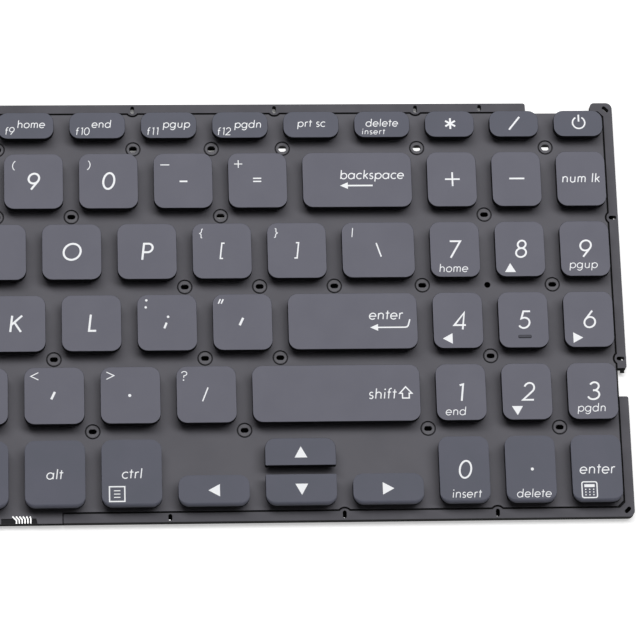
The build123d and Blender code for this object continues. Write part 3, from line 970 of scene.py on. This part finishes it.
def gap_y(front_key, rear_key, shift):
    """Middle of the gap between two caps one behind the other, moved to the rear by a shift."""
    return (node_box(f"key_{front_key}")[1].y + node_box(f"key_{rear_key}")[0].y) / 2 + shift


main_right = gap_x("enter", "pad_4")
pad_gap_1 = gap_x("pad_4", "pad_5")
pad_gap_2 = gap_x("pad_5", "pad_6")
rear_pitch = gap_x("f12", "print_screen") - gap_x("f11", "f12")
rear_line = gap_y("pad_plus", "pad_multiply", rear_boss_shift)
pad_column = ("pad_plus", "pad_7", "pad_4", "pad_1", "pad_0")
lines = [gap_y(front, rear, boss_shift) for rear, front in zip(pad_column, pad_column[1:])]
bosses = [(main_right - n * rear_pitch, rear_line) for n in (5.9, 4.0, 2.9, 1.9, 0.0)]
digit_gap = gap_x("9", "0")
bracket_gap = gap_x("left_bracket", "right_bracket")
line_places = (
    (digit_gap - key_pitch, digit_gap, gap_x("minus", "equals"), pad_gap_1),
    (bracket_gap - key_pitch, bracket_gap, gap_x("right_bracket", "backslash"), main_right, pad_gap_2),
    (gap_x("k", "l"), gap_x("semicolon", "quote"), gap_x("quote", "enter"), pad_gap_1),
    (gap_x("comma", "period"), gap_x("slash", "right_shift"), main_right),
)
bosses += [(x, line) for line, places in zip(lines, line_places) for x in places]
bosses += [(side * pad_gap_2, line) for line in (rear_line, lines[3]) for side in (-1, 1)]

plain_hole = circle(pad_gap_1, lines[1], plain_hole_radius)

slot_y = plate_depth / 2 - slot_inset
slot_x = plate_width / 2 - slot_inset
front_slots = [gap_x("arrow_down", "arrow_right"), pad_gap_1]
rear_slots = [main_right - n * rear_pitch for n in (4, 2, 0)]
side_slots = [gap_y("pad_7", "pad_plus", side_slot_shift), gap_y("pad_1", "pad_4", side_slot_shift)]
ends = [(x, slot_y) for x in rear_slots] + [(x, -slot_y) for x in front_slots]
sides = [(slot_x, y) for y in side_slots]
lands = ends + sides
plain_slot_y = plate_depth / 2 - plain_slot_inset
control_gap = gap_x("right_control", "arrow_left")
plain_ends = [(pad_gap_1, plain_slot_y), (control_gap, -plain_slot_y)]
corner_x, corner_y = plate_width / 2 - corner_slot_inset, plate_depth / 2 - corner_slot_inset
slots = [slot(x, y, 90, slot_length) for x, y in ends]
slots += [slot(x, y, 0, slot_length) for x, y in sides]
slots += [slot(x, y, 90, plain_slot_length) for x, y in plain_ends]
slots += [slot(corner_x, y, turn, slot_length) for y, turn in ((corner_y, -45), (-corner_y, 45))]


def notch(start, end, depth, corners, steps=5):
    """Cut into an edge that runs along the first axis, with the rim's corners beside it rounded off."""
    points = [(start, -depth), (end, -depth)]
    for outward, at, radius in ((1, end, corners[1]), (-1, start, corners[0])):
        turns = [math.radians(90 * step / steps) for step in range(steps + 1)]
        side = [(at + outward * radius * (1 - math.cos(turn)), radius * (math.sin(turn) - 1))
                for turn in turns]
        side.append((at + outward * radius, 1.0))
        points += side[::outward]
    return points


rear_notch_start, rear_notch_end = (plate_width / 2 - end for end in rear_notch_ends)
rear_notch = [(x, plate_depth / 2 + out) for x, out in
              notch(rear_notch_start, rear_notch_end, band_width + trench, rear_notch_corners)]
last_low, last_high = node_box("key_pad_3")
side_notch_y = (last_low.y + last_high.y) / 2 + side_notch_shift
side_notch = [(plate_width / 2 + out, side_notch_y - along) for along, out in
              notch(-side_notch_length / 2, side_notch_length / 2, band_width, side_notch_corners)]
lug_x, lug_y = plate_width / 2 - band_width + lug_inset, side_notch_y + side_notch_length / 2 - lug_size
lug = rectangle(lug_x, lug_y, lug_x + lug_size, lug_y + lug_size)


def boss_opening(x, y, growth=0.0):
    """Long round-ended opening through a boss, deeper in the rear line than in the others."""
    radius = ((rear_opening if y == rear_line else row_opening) + growth) / 2
    reach = rivet_radius + growth / 2 - radius
    points = []
    for aim_x, aim_y in circle(0, 0, 1.0):
        distance = radius / max(abs(aim_y), 0.001)
        if distance * abs(aim_x) > reach:
            distance = reach * abs(aim_x) + math.sqrt(radius**2 - (reach * aim_y)**2)
        points.append((x + distance * aim_x, y + distance * aim_y))
    return points


def boss_rings(x, y):
    """Rings over a boss, from the foot of its opening round its flat top to its outer foot and back."""
    opening = boss_opening(x, y)
    outer = circle(x, y, boss_radius)
    collar = circle(x, y, boss_radius + boss_moat - collar_gap)
    flats = [(opening, floor_top - boss_root), (opening, sheet_top - boss_bevel),
             (boss_opening(x, y, 2 * boss_bevel), sheet_top),
             (circle(x, y, boss_radius - boss_rim), sheet_top), (outer, sheet_top - boss_bevel),
             (outer, floor_top + collar_height), (collar, floor_top + collar_height),
             (collar, floor_top - collar_height)]
    rings = [[(px, py, z) for px, py in flat] for flat, z in flats]
    return [*rings, rings[0]]


def plate_piece():
    """Pressed steel plate: floor, raised rim band with slots, and rivet bosses."""
    tray = chamfered(tray_width, tray_depth, tray_chamfer)
    cuts = [("cut", outline) for outline in [*slots, rear_notch, side_notch]]
    band = [("band", rounded(0, 0, plate_width, plate_depth, [plate_corner] * 4, 8)), ("tray", tray),
            ("cut", rectangle(tail_x - tail_width / 2 - tail_gap, -plate_depth / 2 - 1,
                              tail_x + tail_width / 2 + tail_gap, -plate_depth * 3 / 8)), *cuts]
    band += [("land", circle(x, y, land_radius, 32)) for x, y in lands]
    lap_x, lap_y = tray_width / 2 + rim_lap, tray_depth / 2 + rim_lap
    floor = [("floor", rectangle(-lap_x, -lap_y, lap_x, lap_y)),
             ("floor", rectangle(tail_x - tail_width / 2, -plate_depth / 2, tail_x + tail_width / 2, 0)),
             *cuts, ("cut", plain_hole), ("lug", lug)]
    floor += [("cut", boss_opening(x, y)) for x, y in bosses]

    def in_band(names):
        return "band" in names and "cut" not in names and ("tray" not in names or "land" in names)

    def in_floor(names):
        return "lug" in names or ("floor" in names and "cut" not in names)

    bm = bmesh.new()
    # The band's cut edges and walls and the whole top of the floor take the plate's painted shade
    add_slab(bm, *region(band, in_band), 0.0, sheet_top, 0, 1)
    add_slab(bm, *region(floor, in_floor), rim_drop, floor_top, 1, 1, 0)
    for x, y in bosses:
        # The wall of each opening takes the plate's painted shade, the boss's top its paint, its outer side
        # and collar the moat's painted shade
        add_rings(bm, boss_rings(x, y), lambda n: 1 if n == 0 else 2 if n < 4 else 3, False, False)
    materials = (plate_paint, plate_painted_shade, boss_paint, boss_foot_painted_shade)
    return piece("plate", bm, materials, "base", ["base_plate"], 25)


def sheet_piece():
    """Film sheet over the plate, open round the bosses, with its tail, window and printed traces."""
    sheet = chamfered(tray_width - 2 * trench, tray_depth - 2 * trench, tray_chamfer)
    front = -plate_depth / 2
    left, right = tail_x - tail_window / 2, tail_x + tail_window / 2
    rear = front + tail_window_depth
    window = [(left, front - 1), (right, front - 1), (right, front), (right - 0.3, rear), (left, rear)]
    tail = rectangle(tail_x - tail_width / 2, front, tail_x + tail_width / 2, 0)
    loops = [("sheet", sheet), ("sheet", tail), ("window", window), ("cut", plain_hole)]
    loops += [("cut", circle(x, y, land_radius + trench, 32)) for x, y in lands]
    loops += [("cut", circle(x, y, boss_radius + boss_moat)) for x, y in bosses]

    def whole(names):
        return "sheet" in names and "cut" not in names and "window" not in names

    def under(names):
        return "sheet" in names and "window" in names

    bm = bmesh.new()
    add_slab(bm, *region(loops, whole), floor_top, sheet_top)
    add_slab(bm, *region(loops, under), floor_top, sheet_top - tail_step, 1)
    for n in range(trace_count):
        foot, start = (tail_x + first + step * n for first, step in (trace_feet, trace_starts))
        bend = trace_bends[0] + trace_bends[1] * n
        points = ((start, trace_reach), (foot, bend), (foot, trace_end))
        line = [Vector((x, front + y)) for x, y in points]
        add_slab(bm, *ribbon(line, trace_width), sheet_top - tail_step, sheet_top + trace_rise, 2)
    materials = (film, window_black, trace_silver)
    return piece("film_sheet", bm, materials, "base", ["membrane"], 25)


plate_piece()
sheet_piece()


def spot(x, y, left, front, right, rear):
    """Rectangle by how far it reaches from a point to each side."""
    return rectangle(x - left, y - front, x + right, y + rear)


# Floor. Under the plate it is painted dark as its shadow, but for painted spots of light where light comes
# in through the openings
floor_reach = 6000
hole_split = main_right - 2.4 * rear_pitch
hole_end = plate_width / 2 - 5
# Painted spots of dim light under the openings
painted_dim_light = [spot(hole_split, rear_line, 2 * rear_pitch, 2.0, 0.0, 0.45)]
painted_dim_light += [spot(x, slot_y, 1.0, 1.0, 1.0, 1.0) for x in (*rear_slots, pad_gap_1)]
painted_dim_light.append(spot(gap_x("minus", "equals"), lines[0], 1.5, 2.0, 1.5, 0.45))
painted_dim_light.append([(corner_x + x, corner_y + y) for x, y in ((-2.0, -2.0), (2.8, -2.0), (-2.0, 2.8))])
# Painted spots of full light under the openings
painted_light_spot = [spot(x, -plate_depth / 2, 0.8, 0.0, 0.1, 1.2) for x in (*front_slots, control_gap)]
painted_light_spot.append(spot(hole_split, rear_line, 0.0, 2.0, hole_end - hole_split, 0.85))
painted_light_spot += [spot(slot_x, y, -0.6, 1.0, 1.4, 1.0) for y in side_slots]
floor_loops = [("paper", rectangle(-floor_reach, -floor_reach, floor_reach, floor_reach)),
               ("under", rounded(0, 0, plate_width, plate_depth, [plate_corner] * 4, 8)),
               ("open", rear_notch), ("open", side_notch)]
floor_loops += [("painted_dim_light", outline) for outline in painted_dim_light]
floor_loops += [("painted_light_spot", outline) for outline in painted_light_spot]


def floor_part(names):
    """Which part of the floor lies in the named outlines."""
    if "under" not in names or "open" in names:
        return "paper"
    return "painted_light_spot" if "painted_light_spot" in names else "painted_dim_light" if "painted_dim_light" in names else "under"


floor_bm = bmesh.new()
floor_parts = ("paper", "under", "painted_light_spot", "painted_dim_light")
for index, part in enumerate(floor_parts):
    points, faces = region(floor_loops, lambda names: floor_part(names) == part)
    corners = [floor_bm.verts.new((x * MM, y * MM, 0.0)) for x, y in points]
    for face in faces:
        floor_bm.faces.new([corners[n] for n in face]).material_index = index
floor_mesh = bpy.data.meshes.new("floor")
floor_bm.to_mesh(floor_mesh)
floor_bm.free()
placed("floor", floor_mesh)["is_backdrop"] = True

# Backdrop, light and camera
world = bpy.data.worlds.new("studio")
bpy.context.scene.world = world
world.use_nodes = True
backdrop = world.node_tree.nodes["Background"]
backdrop.inputs["Color"].default_value = (1.0, 1.0, 1.0, 1)


def seen_strength(tree, seen, unseen):
    """Strength for rays that show the background to the eye, straight or by metal and glass, or else."""
    path = tree.nodes.new("ShaderNodeLightPath")
    strength = tree.nodes.new("ShaderNodeMapRange")
    strength.inputs["To Min"].default_value = unseen
    strength.inputs["To Max"].default_value = seen
    last = path.outputs["Is Camera Ray"]
    for kind in ("Is Glossy Ray", "Is Transmission Ray"):
        either = tree.nodes.new("ShaderNodeMath")
        either.operation = "MAXIMUM"
        tree.links.new(last, either.inputs[0])
        tree.links.new(path.outputs[kind], either.inputs[1])
        last = either.outputs["Value"]
    tree.links.new(last, strength.inputs["Value"])
    return strength.outputs["Result"]


def floor_paint(part, seen):
    """Pale floor that a camera sees lit up by a strength, while it lights nothing."""
    material = bpy.data.materials.new(f"floor_{part}")
    material.use_nodes = True
    shader = material.node_tree.nodes["Principled BSDF"]
    shader.inputs["Base Color"].default_value = (0.8, 0.8, 0.8, 1)
    shader.inputs["Roughness"].default_value = 0.9
    shader.inputs["Emission Color"].default_value = (1.0, 1.0, 1.0, 1)
    strength = seen_strength(material.node_tree, seen, 0.0)
    material.node_tree.links.new(strength, shader.inputs["Emission Strength"])
    return material


# Paper floor, the painted shadow under the plate, and the painted spots of full and dim light
floor_mesh.materials.append(floor_paint("paper", 0.45))
floor_mesh.materials.append(plate_painted_shade)
floor_mesh.materials.append(floor_paint("painted_light_spot", 1.0))
floor_mesh.materials.append(floor_paint("painted_dim_light", 0.15))
tree = world.node_tree
tree.links.new(seen_strength(tree, 1.0, 0.038), backdrop.inputs["Strength"])


def soft_light(name, place, target, size, power):
    """Square studio light aimed at a point."""
    lamp = bpy.data.lights.new(name, "AREA")
    lamp.shape = "RECTANGLE"
    lamp.size, lamp.size_y = size
    lamp.energy = power
    made = placed(name, lamp)
    made.location = place
    made.rotation_mode = "QUATERNION"
    made.rotation_quaternion = (Vector(target) - Vector(place)).to_track_quat("-Z", "Y")
    return made


soft_light("top_softbox", place=(0.2, 0.4, 1.0), target=(0.06, 0.0, 0.0), size=(1.8, 0.45), power=15.5)

picture_width = 640  # pixels
focal_length = 3862.5  # pixels
camera_data = bpy.data.cameras.new("camera")
camera_data.sensor_width = 36.0
camera_data.lens = focal_length * camera_data.sensor_width / picture_width
camera_data.clip_start = 0.05
camera_data.clip_end = 50.0
camera = placed("camera", camera_data)
camera.location = Vector((16.327, -308.046, 931.663)) * MM
look = Vector((0.07343, 0.31092, -0.9476)).normalized()
rise = Vector((0.00802, 0.94995, 0.31231))
side = look.cross(rise).normalized()
camera.rotation_mode = "QUATERNION"
camera.rotation_quaternion = Matrix((side, side.cross(look), -look)).transposed().to_quaternion()
bpy.context.scene.camera = camera
bpy.context.scene.view_settings.view_transform = "Standard"

low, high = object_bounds()
